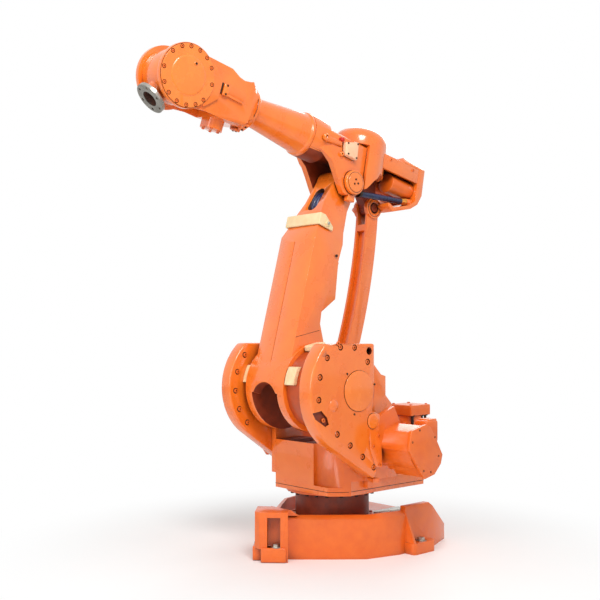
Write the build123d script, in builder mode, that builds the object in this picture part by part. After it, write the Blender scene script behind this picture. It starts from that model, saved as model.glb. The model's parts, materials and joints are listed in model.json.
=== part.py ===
from build123d import *
from math import cos, radians, sin, sqrt
import os

# Six-axis industrial robot arm with a parallel rod, in millimetres.
# Origin: on the floor under axis 1. +Z is up, +X is the way the arm points, +Y is the robot's left.

# Driving sizes of the arm
axis_1_offset = 200
axis_2_height = 680
lower_arm_length = 890
upper_arm_offset = 150
forearm_length = 880
flange_distance = 140

# Pose at rest, in degrees
lower_arm_lean = -14.8
forearm_pitch = 11.0
wrist_roll = -9.5
wrist_bend = 55.5

# Clearances
running_gap = 5
seat_gap = 0.3
pin_gap = 0.3
bearing_gap = 0.5

# Base casting
base_wall_height = 172
base_nose_height = 195
base_wing_height = 190
tail_low_height = 66
rim_chamfer = 16
base_wall = 28
base_deck_height = 118
base_half_width = 300
base_nose_front = 412
nose_half_width = 94
base_tail_end = -456
base_tail_half_width = 236
foot_height = 58
foot_hole_radius = 13
front_foot_x = 356
front_foot_y = 52
pocket_width = 52
pocket_top = 174
pocket_depth = 45
side_foot_x = -200
side_foot_reach = 52
side_foot_height = 45
gusset_thickness = 12
ring_radius = 156
ring_wall = 60
ring_seat_height = 22
ring_top = 242

# Turntable
flange_radius = 196
floor_bottom = 258
floor_thickness = 58
block_drop = 222
block_front = 215
block_rear = 60
block_right = -118
block_corner = 235
block_left = 330
floor_left = 250
floor_back = -361
trough_half_width = 52

# Gear housings, from axis 2
housing_radius = 250
housing_flat = 181
housing_back = -91
left_plate_outer = 354
left_plate_inner = 286
right_plate_outer = -208
right_plate_inner = -150
right_housing_radius = 236
side_frame_thickness = 96
right_frame_thickness = 26
left_gear_radius = 160
right_gear_radius = 150
shaft_radius = 53
round_cover_radius = 78
cover_thickness = 4
stop_length = 70
stop_depth = 18
stop_width = 54
stop_low_end = 20

# Motors beside the gear housings
motor_x = -20
motor_rise = 124
left_motor_end = 486
right_motor_end = -440
motor_cap_thickness = 16
motor_radius = 72
motor_flange_offset = 44
motor_flange_depth = 24
motor_body_share = 0.94

# Motor of axis 1
base_motor_x = -330
base_motor_y = 150
base_motor_side = 130
base_motor_top = 590
base_motor_radius = 58
base_motor_plate = 46

# Lower arm, from axis 2 forwards and along the arm
hub_radius = 178
hub_half_width = 117
arm_half_width = 107
arm_front = 165
crown_half_width = 45
crown_depth = 11
seam_width = 4
elbow_radius = 62
elbow_half_width = 60
fork_half_gap = 78
fork_floor_radius = 140
window_top = -61
slot_window_half_width = 21
slot_window_depth = 40
guard_height = 50
guard_thickness = 9
guard_front = 147
cable_radius = 10

# Lever and parallel rod
lever_length = 212
lever_angle = 98.5
lever_hub_radius = 58
lever_end_radius = 36
lever_half_width = 22
rod_half_width = 42
rod_web_half_width = 34
rod_flange_thickness = 11
rod_depth = 68
rod_recess = 20
rod_bow = 40
rod_low_eye_radius = 38
rod_top_eye_radius = 46
rod_low_slot = 232
rod_top_slot = 84
rod_pin_radius = 18

# Upper arm, from axis 3
ear_outer = 98
ear_inner = 70
cap_radius = 52
cap_thickness = 20
elbow_pin_radius = 29
box_thickness = 24
housing_top = 186
drum_u = -105
drum_radius = 122
drum_top = 276
drum_fillet = 60
drum_split = -60
drum_bottom = 84
tail_end = -429
tail_half_width = 112
tail_top = 183
tail_side_low = 117
tail_wall = 14
tail_hood_start = -288
tail_hood_top = 215
foot_inner = 50
arm_motor_length = 140
arm_motor_radius = 44
arm_motor_y = 52
arm_motor_v = 84
hose_radius = 13
hose_y = 79

# Forearm and wrist
tube_start = 238
tube_back_radius = 86
tube_front_radius = 58
tube_lip = 7
ring_back = 335
ring_half_height = 84
wrist_radius = 119
wrist_half_width = 86
wrist_cover_thickness = 4
slot_depth = 172
tilt_radius = 104
tilt_half_width = 46
neck_radius = 44
neck_half_width = 76
neck_boss_radius = 44
trunnion_radius = 100
tool_flange_radius = 62.5
tool_flange_thickness = 13
tool_hub_radius = 40
tool_hub_length = 6
tool_bore_radius = 31.5
tool_pitch_radius = 50
tool_hole_radius = 5.1
tool_hole_count = 6

floor_top = floor_bottom + floor_thickness
block_top = axis_2_height - block_drop
floor_drop = floor_top - axis_2_height
wrist_slot_half_width = tool_flange_radius + running_gap
side_foot_y = base_half_width + side_foot_reach / 2 - 4

os.makedirs("parts", exist_ok=True)


def save(piece, name):
    piece.part.label = name
    export_step(piece.part, f"parts/{name}.step")


def turned(angle):
    return Vector(cos(radians(angle)), 0, sin(radians(angle)))


def outline(*points):
    with BuildLine() as line:
        Polyline(*points, close=True)
    return make_face(line.edges())


# Points and directions of the linkage
shoulder = Vector(axis_1_offset, 0, axis_2_height)
forwards = turned(-lower_arm_lean)
along = turned(90 - lower_arm_lean)
elbow = shoulder + along * lower_arm_length
reach = turned(forearm_pitch)
rise = turned(forearm_pitch + 90)
root = elbow + rise * upper_arm_offset
wrist = root + reach * forearm_length
side = Vector(0, 1, 0)
bend_axis = side * cos(radians(wrist_roll)) + rise * sin(radians(wrist_roll))
bend_rise = reach.cross(bend_axis)
tool = reach * cos(radians(wrist_bend)) - bend_rise * sin(radians(wrist_bend))


def floor_plane(height):
    return Plane.XY.offset(height)


def body_side(y):
    return Plane(origin=(axis_1_offset, y, axis_2_height), x_dir=(1, 0, 0), z_dir=(0, -1, 0))


def arm_side(y):
    return Plane(origin=shoulder + side * y, x_dir=forwards, z_dir=(0, -1, 0))


def arm_section(distance):
    return Plane(origin=shoulder + along * distance, x_dir=(0, 1, 0), z_dir=-along)


def arm_face(distance):
    return Plane(origin=shoulder + forwards * distance, x_dir=(0, 1, 0), z_dir=forwards)


def upper_side(y):
    return Plane(origin=elbow + side * y, x_dir=reach, z_dir=(0, -1, 0))


def upper_plan(v):
    return Plane(origin=elbow + rise * v, x_dir=reach, z_dir=rise)


def tail_plane(u):
    return Plane(origin=elbow + reach * u, x_dir=(0, 1, 0), z_dir=reach)


def tube_section(u):
    return Plane(origin=root + reach * u, x_dir=(0, 1, 0), z_dir=reach)


def wrist_side(w):
    return Plane(origin=wrist + bend_axis * w, x_dir=reach, z_dir=-bend_axis)


def tool_section(distance):
    return Plane(origin=wrist + tool * distance, x_dir=bend_axis, z_dir=tool)


# Base casting: the left half, mirrored
nose_face = [(base_nose_front, 14), (332, nose_half_width)]
nose_turn = (Vector(*nose_face[1]) - Vector(*nose_face[0])).normalized()
nose_normal = Vector(nose_turn.Y, -nose_turn.X)
nose_middle = (Vector(*nose_face[0]) + Vector(*nose_face[1])) / 2
wall_line = [
    (297, 54), (173, 0.553 * base_half_width), (60, 0.873 * base_half_width), (-90, base_half_width),
]
wall_end = (-128, base_half_width)
wing_line = [(-300, base_half_width), (base_tail_end, base_tail_half_width)]
wall_inner = [(x - 0.6 * base_wall, y - 0.8 * base_wall) for x, y in wall_line[1:3]]
deck_line = [
    (262, 0), (262, 47), *wall_inner, (wall_line[3][0], base_half_width - base_wall),
    (wing_line[0][0], base_half_width - base_wall),
    (base_tail_end + base_wall, base_tail_half_width - 0.6 * base_wall),
]


def half_base():
    return outline((base_nose_front, 0), *nose_face, *wall_line, *wing_line, (base_tail_end, 0))


with BuildPart() as base_casting:
    with BuildSketch(floor_plane(0)):
        half_base()
    extrude(amount=base_nose_height)
    # The wall between nose and wing is lower, and the tail slopes down
    with BuildSketch(Plane.XZ):
        outline(
            (290, base_nose_height + 1), (262, base_wall_height), (wall_end[0], base_wall_height),
            (wall_end[0], base_wing_height), (-275, base_wing_height), (base_tail_end, tail_low_height),
            (base_tail_end - 50, tail_low_height), (base_tail_end - 50, base_nose_height + 1),
        )
    extrude(amount=-base_half_width - 100, mode=Mode.SUBTRACT)
    # Slanted rim along the wall
    rim_start = Vector(*wall_line[0], base_wall_height)
    rim_way = (Vector(*wall_line[1], base_wall_height) - rim_start).normalized()
    with BuildLine() as rim_line:
        Polyline(
            tuple(rim_start - rim_way * 12), *[(x, y, base_wall_height) for x, y in wall_line[1:]],
            (*wall_end, base_wall_height),
        )
    rim_across = (rim_way.Y, -rim_way.X, 0)
    with BuildSketch(Plane(origin=rim_start - rim_way * 12, x_dir=rim_across, z_dir=rim_way)):
        outline((1, -1), (1, rim_chamfer), (-rim_chamfer - 1, -1))
    sweep(path=rim_line.wire(), transition=Transition.RIGHT, mode=Mode.SUBTRACT)
    # Deck between the walls
    with BuildSketch(floor_plane(base_deck_height)):
        outline(*deck_line, (base_tail_end + base_wall, 0))
    extrude(amount=base_nose_height, mode=Mode.SUBTRACT)
    # Front foot and the pocket above its bolt
    nose_angle = Vector(1, 0).get_signed_angle(nose_turn)
    with BuildSketch(floor_plane(0)):
        with Locations(Location(tuple(nose_middle - nose_normal * 12), nose_angle)):
            RectangleRounded(100, 40, 12)
    extrude(amount=foot_height)
    with BuildSketch(Plane(origin=tuple(nose_middle), x_dir=nose_turn, z_dir=-nose_normal)):
        with Locations((0, -(foot_height + pocket_top) / 2)):
            Rectangle(pocket_width, pocket_top - foot_height)
    extrude(amount=pocket_depth, mode=Mode.SUBTRACT)
    # Side foot with its gusset
    with BuildSketch(floor_plane(0)):
        with Locations((wall_end[0] - 64, base_half_width + side_foot_reach / 2 - 20)):
            RectangleRounded(136, side_foot_reach + 40, 18)
    extrude(amount=side_foot_height)
    with BuildSketch(Plane(origin=(wall_end[0] - gusset_thickness, 0, 0), x_dir=(0, 1, 0), z_dir=(1, 0, 0))):
        outline(
            (base_half_width - 10, base_wall_height), (base_half_width, base_wall_height - 6),
            (base_half_width + side_foot_reach - 4, side_foot_height - 1),
            (base_half_width - 10, side_foot_height - 1),
        )
    extrude(amount=gusset_thickness)
    with Locations((side_foot_x, side_foot_y, side_foot_height), (front_foot_x, front_foot_y, foot_height)):
        Hole(foot_hole_radius, depth=foot_height)
    # The nose stands clear of the floor between its feet
    with BuildSketch(floor_plane(0)):
        with Locations((base_nose_front, 0)):
            Rectangle(120, 40)
    extrude(amount=foot_height - 6, mode=Mode.SUBTRACT)
    mirror(about=Plane.XZ)
    # Round seat of the bearing ring
    with BuildSketch(floor_plane(0)):
        Circle(ring_radius + 20)
    extrude(amount=base_deck_height + ring_seat_height)
save(base_casting, "base_casting")

with BuildPart() as axis_1_ring:
    with BuildSketch(floor_plane(base_deck_height + ring_seat_height + seat_gap)):
        Circle(ring_radius)
        Circle(ring_radius - ring_wall, mode=Mode.SUBTRACT)
    extrude(amount=ring_top - base_deck_height - ring_seat_height - seat_gap)
save(axis_1_ring, "axis_1_ring")

# Turntable
with BuildPart() as turntable_flange:
    with BuildSketch(floor_plane(ring_top + bearing_gap)):
        Circle(flange_radius)
    extrude(amount=floor_bottom - ring_top - bearing_gap - seat_gap)
save(turntable_flange, "turntable_flange")

side_outer = left_plate_inner - seat_gap
block_back = block_rear - axis_1_offset
trough_radius = lever_length + rod_low_eye_radius + 4 * running_gap
wedge_top = floor_drop + 60
housing_tip = floor_drop + 20

with BuildPart() as turntable_frame:
    with BuildSketch(floor_plane(floor_bottom)):
        outline(
            (block_front, block_right), (block_front, block_corner), (190, block_left), (150, block_left),
            (140, floor_left), (floor_back + 59, floor_left), (floor_back, floor_left - 50),
            (floor_back, block_right), (floor_back + 141, block_right - 72), (100, block_right - 72),
        )
    extrude(amount=floor_thickness)
    with BuildSketch(floor_plane(floor_bottom + 25)):
        with Locations((27, floor_left + 12)):
            Rectangle(84, 26)
    extrude(amount=floor_thickness - 25)
    # Front block under the shoulder
    with BuildSketch(floor_plane(floor_top - 1)):
        outline(
            (block_front, block_right), (block_front, block_corner), (block_front - 13, side_outer),
            (block_rear, side_outer), (block_rear, block_right),
        )
    extrude(amount=block_top - floor_top + 1)
    with BuildSketch(body_side(block_left)):
        outline(
            (-10, floor_drop - 1), (-10, wedge_top), (-84, housing_tip - 6), (block_back, housing_tip - 6),
            (block_back, floor_drop - 1),
        )
    extrude(amount=block_left - side_outer + 1)
    # Trough for the lever and the foot of the rod
    with BuildSketch(body_side(0)):
        Circle(trough_radius)
        with Locations((trough_radius + 1, 0)):
            Rectangle(2 * trough_radius, 2 * trough_radius, mode=Mode.SUBTRACT)
    extrude(amount=trough_half_width, both=True, mode=Mode.SUBTRACT)
save(turntable_frame, "turntable_frame")

with BuildPart() as left_side_frame:
    with BuildSketch(body_side(side_outer)):
        outline(
            (15, -block_drop + seat_gap), (15, 0), (-100, 112), (-160, 96), (-201, 55), (-228, 48),
            (-228, -30), (-265, -66), (-290, -170), (-290, floor_drop + seat_gap),
            (block_back - seat_gap, floor_drop + seat_gap), (block_back - seat_gap, -block_drop + seat_gap),
        )
        Circle(left_gear_radius + seat_gap, mode=Mode.SUBTRACT)
    extrude(amount=side_frame_thickness)
save(left_side_frame, "left_side_frame")

with BuildPart() as right_side_frame:
    with BuildSketch(body_side(right_plate_inner + seat_gap)):
        outline(
            (10, floor_drop + seat_gap), (10, -60), (-150, -20), (-220, -120), (-260, floor_drop + seat_gap),
        )
        Circle(right_gear_radius + seat_gap, mode=Mode.SUBTRACT)
    extrude(amount=-right_frame_thickness)
save(right_side_frame, "right_side_frame")


def housing_shape(radius):
    top = (sqrt(radius ** 2 - housing_flat ** 2), housing_flat)
    low = (radius * cos(radians(-52)), radius * sin(radians(-52)))
    with BuildLine() as line:
        Polyline(
            top, (housing_back, housing_flat), (housing_back, 0), (-62, 0.605 * housing_tip),
            (-104, housing_tip + 26), (-86, housing_tip), low,
        )
        ThreePointArc(low, (radius, 0), top)
    make_face(line.edges())


def gear_housing(name, radius, outer, inner):
    with BuildPart() as housing:
        with BuildSketch(body_side(outer)):
            housing_shape(radius)
        extrude(amount=outer - inner)
    save(housing, name)


gear_housing("left_gear_housing", housing_radius, left_plate_outer, left_plate_inner)
gear_housing("right_gear_housing", right_housing_radius, right_plate_outer, right_plate_inner)

with BuildPart() as left_gear_unit:
    with BuildSketch(body_side(side_outer)):
        Circle(left_gear_radius)
    extrude(amount=side_outer - hub_half_width - seat_gap)
save(left_gear_unit, "left_gear_unit")

with BuildPart() as right_gear_unit:
    with BuildSketch(body_side(right_plate_inner + seat_gap)):
        Circle(right_gear_radius)
        Circle(shaft_radius + 13, mode=Mode.SUBTRACT)
    extrude(amount=right_plate_inner + hub_half_width + 2 * seat_gap)
save(right_gear_unit, "right_gear_unit")


def stop_block(name, gear_radius, start, end):
    with BuildPart() as block:
        with BuildSketch(body_side(start)):
            Circle(gear_radius + stop_depth)
            Circle(gear_radius + seat_gap, mode=Mode.SUBTRACT)
            with Locations((gear_radius, stop_low_end + stop_length / 2)):
                Rectangle(gear_radius, stop_length, mode=Mode.INTERSECT)
        extrude(amount=start - end)
    save(block, name)


hub_side = hub_half_width + running_gap
stop_block("left_stop_block", left_gear_radius, hub_side + stop_width, hub_side)
stop_block("right_stop_block", right_gear_radius, -hub_side, right_plate_inner + seat_gap)


def round_cover(name, radius, y):
    outward = 1 if y > 0 else -1
    with BuildPart() as cover:
        with BuildSketch(body_side(y + outward * seat_gap)):
            Circle(radius)
        extrude(amount=-outward * cover_thickness)
    save(cover, name)


round_cover("left_round_cover", round_cover_radius, left_plate_outer)
round_cover("right_round_cover", round_cover_radius, right_plate_outer)

# Outline of the motor caps seen from the side, around the motor's axis
cap_shape = [
    (83, 87), (-5, 108), (-30, 95), (-64, 48), (-102, -17), (-91, -52), (-53, -90), (7, -103), (93, 10),
    (94, 38),
]
flange_shape = [(97, 140), (17, 170), (-24, 91), (-63, 40), (-60, -40), (20, -80), (80, 0), (112, 60)]
motor_place = Vector(motor_x - axis_1_offset, floor_drop + motor_rise)


def around_motor(shape, scale):
    return outline(*[motor_place + Vector(*point) * scale for point in shape])


def drive_motor(prefix, plate, end):
    outward = 1 if end > 0 else -1
    start = plate + outward * seat_gap
    flange = plate + outward * motor_flange_offset
    with BuildPart() as motor:
        with BuildSketch(body_side(start)):
            with Locations(motor_place):
                Circle(motor_radius)
        extrude(amount=start - end)
        with BuildSketch(body_side(flange)):
            around_motor(flange_shape, 1)
        extrude(amount=-outward * motor_flange_depth)
        with BuildSketch(body_side(end)):
            around_motor(cap_shape, motor_body_share)
        extrude(amount=outward * (abs(end - flange) - motor_flange_depth + 1))
    save(motor, prefix + "_motor")
    with BuildPart() as cap:
        with BuildSketch(body_side(end + outward * seat_gap)):
            around_motor(cap_shape, 1)
        extrude(amount=-outward * motor_cap_thickness)
    save(cap, prefix + "_motor_cap")


drive_motor("left", left_plate_inner, left_motor_end)
drive_motor("right", right_plate_inner, right_motor_end)

with BuildPart() as axis_1_motor:
    with BuildSketch(floor_plane(floor_top + seat_gap)):
        with Locations((base_motor_x, base_motor_y)):
            Circle(base_motor_radius)
    extrude(amount=base_motor_top - base_motor_plate - floor_top)
save(axis_1_motor, "axis_1_motor")

with BuildPart() as axis_1_motor_plate:
    with BuildSketch(floor_plane(base_motor_top - base_motor_plate + 2 * seat_gap)):
        with Locations((base_motor_x, base_motor_y)):
            RectangleRounded(base_motor_side, base_motor_side, 8)
    extrude(amount=base_motor_plate)
save(axis_1_motor_plate, "axis_1_motor_plate")

# Lower arm
front_top = lower_arm_length - 312
slope_low = (121, lower_arm_length - 169)
slope_high = (elbow_radius, lower_arm_length)
slope_way = (Vector(*slope_high) - Vector(*slope_low)).normalized()
narrow_start = lower_arm_length - 290
narrow_end = lower_arm_length - 115


def arm_profile():
    front = [(arm_front, 20), (arm_front, front_top), (137, lower_arm_length - 233), slope_low]
    rear = [
        (-elbow_radius, lower_arm_length), (-12, lower_arm_length - 224), (0, 0.584 * lower_arm_length),
        (-20, 0.427 * lower_arm_length), (42, 308), (37, 258), (-30, 140),
    ]
    with BuildLine() as line:
        Polyline(*front, slope_high)
        ThreePointArc(slope_high, (0, lower_arm_length + elbow_radius), rear[0])
        Polyline(*rear, (-30, 20), front[0])
    make_face(line.edges())


with BuildPart() as lower_arm_casting:
    with BuildSketch(arm_side(0)):
        arm_profile()
    extrude(amount=arm_half_width, both=True)
    # Crowned front with a shallow seam down its middle
    with BuildSketch(arm_section(narrow_end)):
        for sign in (1, -1):
            outline(
                (sign * crown_half_width, arm_front + 1), (sign * crown_half_width, arm_front),
                (sign * arm_half_width, arm_front - crown_depth),
                (sign * (arm_half_width + 5), arm_front + 1),
            )
    extrude(amount=narrow_end, mode=Mode.SUBTRACT)
    with BuildSketch(arm_face(arm_front + 1)):
        with Locations((0, (front_top + 60) / 2)):
            Rectangle(seam_width, front_top - 60)
    extrude(amount=-seam_width, mode=Mode.SUBTRACT)
    # The arm narrows from both sides towards the elbow
    with BuildSketch(arm_face(0)):
        for sign in (1, -1):
            outline(
                (sign * arm_half_width, narrow_start), (sign * elbow_half_width, narrow_end),
                (sign * elbow_half_width, lower_arm_length + 110),
                (sign * 2 * arm_half_width, lower_arm_length + 110),
                (sign * 2 * arm_half_width, narrow_start),
            )
    extrude(amount=300, both=True, mode=Mode.SUBTRACT)
    for face_y in (arm_half_width + 1, 4 - arm_half_width):
        with BuildSketch(arm_side(face_y)):
            outline(
                (117, lower_arm_length - 242), (17, lower_arm_length - 355), (-80, lower_arm_length - 365),
                (-80, lower_arm_length - 190), (180, lower_arm_length - 190),
            )
        extrude(amount=5, mode=Mode.SUBTRACT)
    with BuildSketch(arm_side(0)):
        Circle(hub_radius)
    extrude(amount=hub_half_width, both=True)
    # Fork round the lever, open at the rear and below
    with BuildSketch(arm_side(0)):
        Circle(fork_floor_radius)
        outline((20, 138), (-110, 262), (-300, 262), (-300, -300), (0, -300))
        with Locations((0, window_top - arm_front)):
            Rectangle(4 * arm_front, 2 * arm_front)
    extrude(amount=fork_half_gap, both=True, mode=Mode.SUBTRACT)
    with BuildSketch(arm_face(0)):
        with Locations((0, -20 - fork_half_gap)):
            Circle(fork_half_gap)
    extrude(amount=300, mode=Mode.SUBTRACT)
    # Long window in the slope under the elbow
    window_middle = Vector(*slope_low) + slope_way * 74
    window_normal = forwards * slope_way.Y - along * slope_way.X
    window_origin = shoulder + forwards * window_middle.X + along * window_middle.Y
    with BuildSketch(Plane(origin=window_origin, x_dir=(0, 1, 0), z_dir=window_normal)):
        SlotOverall(116, 2 * slot_window_half_width, rotation=90)
    extrude(amount=-slot_window_depth, mode=Mode.SUBTRACT)
    # Bores of the right gear shaft and of the elbow pin
    with BuildSketch(arm_side(0)):
        Circle(shaft_radius + running_gap)
    extrude(amount=2 * hub_half_width, mode=Mode.SUBTRACT)
    with BuildSketch(arm_side(0)):
        with Locations((0, lower_arm_length)):
            Circle(elbow_pin_radius + 1)
    extrude(amount=2 * hub_half_width, both=True, mode=Mode.SUBTRACT)
save(lower_arm_casting, "lower_arm_casting")

guard_base = lower_arm_length - 235
with BuildPart() as arm_guard:
    with BuildSketch(arm_side(0)):
        outline(
            (guard_front, guard_base), (guard_front, guard_base + guard_height),
            (118, guard_base + guard_height),
            (64, guard_base + 12), (64, guard_base - 6),
        )
    extrude(amount=arm_half_width - 2, both=True)
    with BuildSketch(arm_side(0)):
        with Locations((0, lower_arm_length)):
            Rectangle(2 * (guard_front - guard_thickness), lower_arm_length)
    extrude(amount=arm_half_width - 2 - guard_thickness, both=True, mode=Mode.SUBTRACT)
save(arm_guard, "arm_guard")

cable_start = window_origin - window_normal * (slot_window_depth - cable_radius - seat_gap)
with BuildPart() as arm_cable:
    slope_direction = forwards * slope_way.X + along * slope_way.Y
    with BuildSketch(Plane(origin=cable_start, x_dir=(0, 1, 0), z_dir=slope_direction)):
        Circle(cable_radius)
    extrude(amount=46, both=True)
save(arm_cable, "arm_cable")

lever_end = (-lever_length * sin(radians(lever_angle)), lever_length * cos(radians(lever_angle)))

with BuildPart() as lever_arm:
    with BuildSketch(arm_side(0)):
        Circle(lever_hub_radius)
        with Locations(lever_end):
            Circle(lever_end_radius)
        make_hull()
    extrude(amount=lever_half_width, both=True)
    with BuildSketch(arm_side(0)):
        Circle(lever_hub_radius)
    extrude(amount=fork_half_gap - running_gap, both=True)
    with BuildSketch(arm_side(0)):
        Circle(shaft_radius)
    extrude(amount=-right_plate_inner - seat_gap)
    with BuildSketch(arm_side(0)):
        with Locations(lever_end):
            Circle(rod_pin_radius)
    extrude(amount=rod_half_width, both=True)
save(lever_arm, "lever_arm")

# Parallel rod from the lever's end to the rear pivot of the upper arm
rod_top = (lever_end[0], lever_end[1] + lower_arm_length)
rod_middle = (lever_end[0] - rod_bow, (lever_end[1] + rod_top[1]) / 2)


def rod_band(half_depth):
    with BuildLine() as middle_line:
        ThreePointArc(lever_end, rod_middle, rod_top)
    with BuildLine() as band_line:
        offset(middle_line.line, amount=half_depth)
    return make_face(band_line.edges(), mode=Mode.PRIVATE)


with BuildPart() as parallel_rod:
    with BuildSketch(arm_side(0)):
        add(rod_band(rod_depth / 2))
    extrude(amount=rod_web_half_width, both=True)
    with BuildSketch(arm_side(0)):
        with Locations(lever_end):
            Circle(rod_low_eye_radius)
        with Locations(rod_top):
            Circle(rod_top_eye_radius)
    extrude(amount=rod_half_width, both=True)
    # Channels in the front and rear edges
    with BuildSketch(arm_side(0)):
        add(rod_band(rod_depth / 2 + 2))
        add(rod_band(rod_depth / 2 - rod_recess), mode=Mode.SUBTRACT)
        with Locations(lever_end):
            Circle(rod_low_slot - 4, mode=Mode.SUBTRACT)
        with Locations(rod_top):
            Circle(rod_top_slot + 26, mode=Mode.SUBTRACT)
    extrude(amount=rod_web_half_width - rod_flange_thickness, both=True, mode=Mode.SUBTRACT)
    # Forks at both ends
    with BuildSketch(arm_side(0)):
        with Locations(lever_end):
            Circle(rod_low_slot)
        with Locations(rod_top):
            Circle(rod_top_slot)
    extrude(amount=lever_half_width + 1, both=True, mode=Mode.SUBTRACT)
    with BuildSketch(arm_side(0)):
        with Locations(lever_end):
            Circle(rod_pin_radius + pin_gap)
        with Locations(rod_top):
            Circle(rod_pin_radius + 6)
    extrude(amount=2 * rod_half_width, both=True, mode=Mode.SUBTRACT)
save(parallel_rod, "parallel_rod")

# Upper arm
pivot_turn = radians(lower_arm_lean + forearm_pitch)
rear_pivot = (
    lever_end[0] * cos(pivot_turn) + lever_end[1] * sin(pivot_turn),
    lever_end[1] * cos(pivot_turn) - lever_end[0] * sin(pivot_turn),
)

with BuildPart() as upper_arm_housing:
    # Webs on both sides of the elbow
    with BuildSketch(upper_side(0)):
        Circle(cap_radius + 4)
        outline(
            (25, -61), (46, -56), (71, -24), (103, 22), (128, 55), (184, 92), (tube_start, 121),
            (tube_start, housing_top), (drum_split, housing_top), (-56, 40), (-52, -20),
        )
    extrude(amount=ear_outer, both=True)
    with BuildSketch(upper_side(0)):
        outline((-150, -150), (200, -150), (200, 70), (150, 96), (-150, 96))
    extrude(amount=ear_inner, both=True, mode=Mode.SUBTRACT)
    # Slanted edges along the top and corners cut off towards the neck
    with BuildSketch(tail_plane(drum_split - 1)):
        for sign in (1, -1):
            outline(
                (sign * (ear_outer + 1), housing_top - 13), (sign * (ear_outer + 1), housing_top + 1),
                (sign * (ear_outer - 13), housing_top + 1),
            )
    extrude(amount=tube_start - drum_split + 2, mode=Mode.SUBTRACT)
    with BuildSketch(upper_plan(-80)):
        for sign in (1, -1):
            outline(
                (140, sign * (ear_outer + 1)), (tube_start + 2, sign * 60),
                (tube_start + 2, sign * (ear_outer + 1)),
            )
    extrude(amount=housing_top + 90, mode=Mode.SUBTRACT)
    # Round neck of the forearm bearing
    with BuildSketch(tube_section(150)):
        Circle(tube_back_radius + 8)
    extrude(amount=tube_start - 150)
    # Lug of the rear pivot with its pin
    with BuildSketch(upper_side(0)):
        with Locations(rear_pivot):
            Circle(lever_end_radius - 4)
        outline(
            (rear_pivot[0] - 32, rear_pivot[1]), (rear_pivot[0] + 32, rear_pivot[1]), (drum_u + 60, 100),
            (rear_pivot[0], 100),
        )
    extrude(amount=lever_half_width, both=True)
    with BuildSketch(upper_side(0)):
        with Locations(rear_pivot):
            Circle(rod_pin_radius)
    extrude(amount=rod_half_width, both=True)
save(upper_arm_housing, "upper_arm_housing")

drum_back = drum_u - 2 * drum_radius
with BuildPart() as drum_housing:
    with BuildSketch(upper_plan(-30)):
        with Locations((drum_u, 0)):
            Circle(drum_radius)
    extrude(amount=drum_top + 30)
    fillet(drum_housing.faces().sort_by(Axis(tuple(elbow), tuple(rise)))[-1].edges(), drum_fillet)
    # Front half below the split is taken by the webs, and only skirts reach down beside the rod
    with BuildSketch(upper_side(0)):
        outline(
            (drum_split - seat_gap, -100), (drum_split - seat_gap, housing_top + 1), (300, housing_top + 1),
            (300, -100),
        )
    extrude(amount=2 * drum_radius, both=True, mode=Mode.SUBTRACT)
    with BuildSketch(upper_side(0)):
        outline(
            (drum_back, -100), (drum_back, drum_bottom), (-142, drum_bottom), (-123, 55), (-106, 40),
            (-71, -6), (drum_split, -12), (drum_split, -100),
        )
    extrude(amount=2 * drum_radius, both=True, mode=Mode.SUBTRACT)
    with BuildSketch(upper_side(0)):
        outline((drum_back, -100), (drum_back, drum_bottom), (0, drum_bottom), (0, -100))
    extrude(amount=ear_inner, both=True, mode=Mode.SUBTRACT)
    with BuildSketch(upper_side(0)):
        outline((-250, 0), (-250, 100 + seat_gap), (0, 100 + seat_gap), (0, 0))
    extrude(amount=lever_half_width + seat_gap, both=True, mode=Mode.SUBTRACT)
save(drum_housing, "drum_housing")

end_plate_inner = tail_end + 40
with BuildPart() as rear_beam:
    with BuildSketch(upper_side(0)):
        outline(
            (-150, tail_side_low), (-150, tail_top), (end_plate_inner + seat_gap, tail_top),
            (end_plate_inner + seat_gap, tail_side_low),
        )
    extrude(amount=tail_half_width, both=True)
    with BuildSketch(upper_side(0)):
        outline(
            (-100, 0), (-100, tail_top - tail_wall), (end_plate_inner - 20, tail_top - tail_wall),
            (end_plate_inner - 20, 0),
        )
    extrude(amount=tail_half_width - tail_wall, both=True, mode=Mode.SUBTRACT)
    with BuildSketch(upper_plan(0)):
        with Locations((drum_u, 0)):
            Circle(drum_radius + seat_gap)
    extrude(amount=2 * tail_top, mode=Mode.SUBTRACT)
save(rear_beam, "rear_beam")

hose_way = (-0.9864, 0.1644)
hose_from = (-60, -26.3)
hose_to = (-358, 23.4)
hose_direction = reach * hose_way[0] + rise * hose_way[1]

with BuildPart() as rear_end_plate:
    with BuildSketch(upper_side(0)):
        outline(
            (tail_hood_start, tail_top + seat_gap), (tail_hood_start - 12, tail_hood_top - 2),
            (tail_end + 29, tail_hood_top), (tail_end, tail_hood_top - 27),
            (tail_end, 70), (tail_end + 21, 23), (tail_end + 64, -10), (-256, -54), (-219, -36), (-224, -22),
            (-256, -34), (tail_end + 73, 4), (end_plate_inner, 34), (end_plate_inner, tail_top + seat_gap),
        )
    extrude(amount=tail_half_width, both=True)
    # Feet on both sides of the rod, and a slanted edge round the hood
    with BuildSketch(upper_side(0)):
        outline((-200, -100), (-200, 20), (-372, 20), (-460, 40), (-460, -100))
    extrude(amount=foot_inner, both=True, mode=Mode.SUBTRACT)
    with BuildSketch(tail_plane(tail_end - 1)):
        for sign in (1, -1):
            outline(
                (sign * (tail_half_width + 1), tail_hood_top - 25),
                (sign * (tail_half_width - 24), tail_hood_top + 1),
                (sign * (tail_half_width + 1), tail_hood_top + 1),
            )
    extrude(amount=200, mode=Mode.SUBTRACT)
    with BuildSketch(Plane(
        origin=elbow + reach * hose_to[0] + rise * hose_to[1] + side * hose_y + hose_direction * seat_gap,
        x_dir=(0, 1, 0), z_dir=hose_direction,
    )):
        Circle(hose_radius + 4)
    extrude(amount=36)
save(rear_end_plate, "rear_end_plate")


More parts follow.
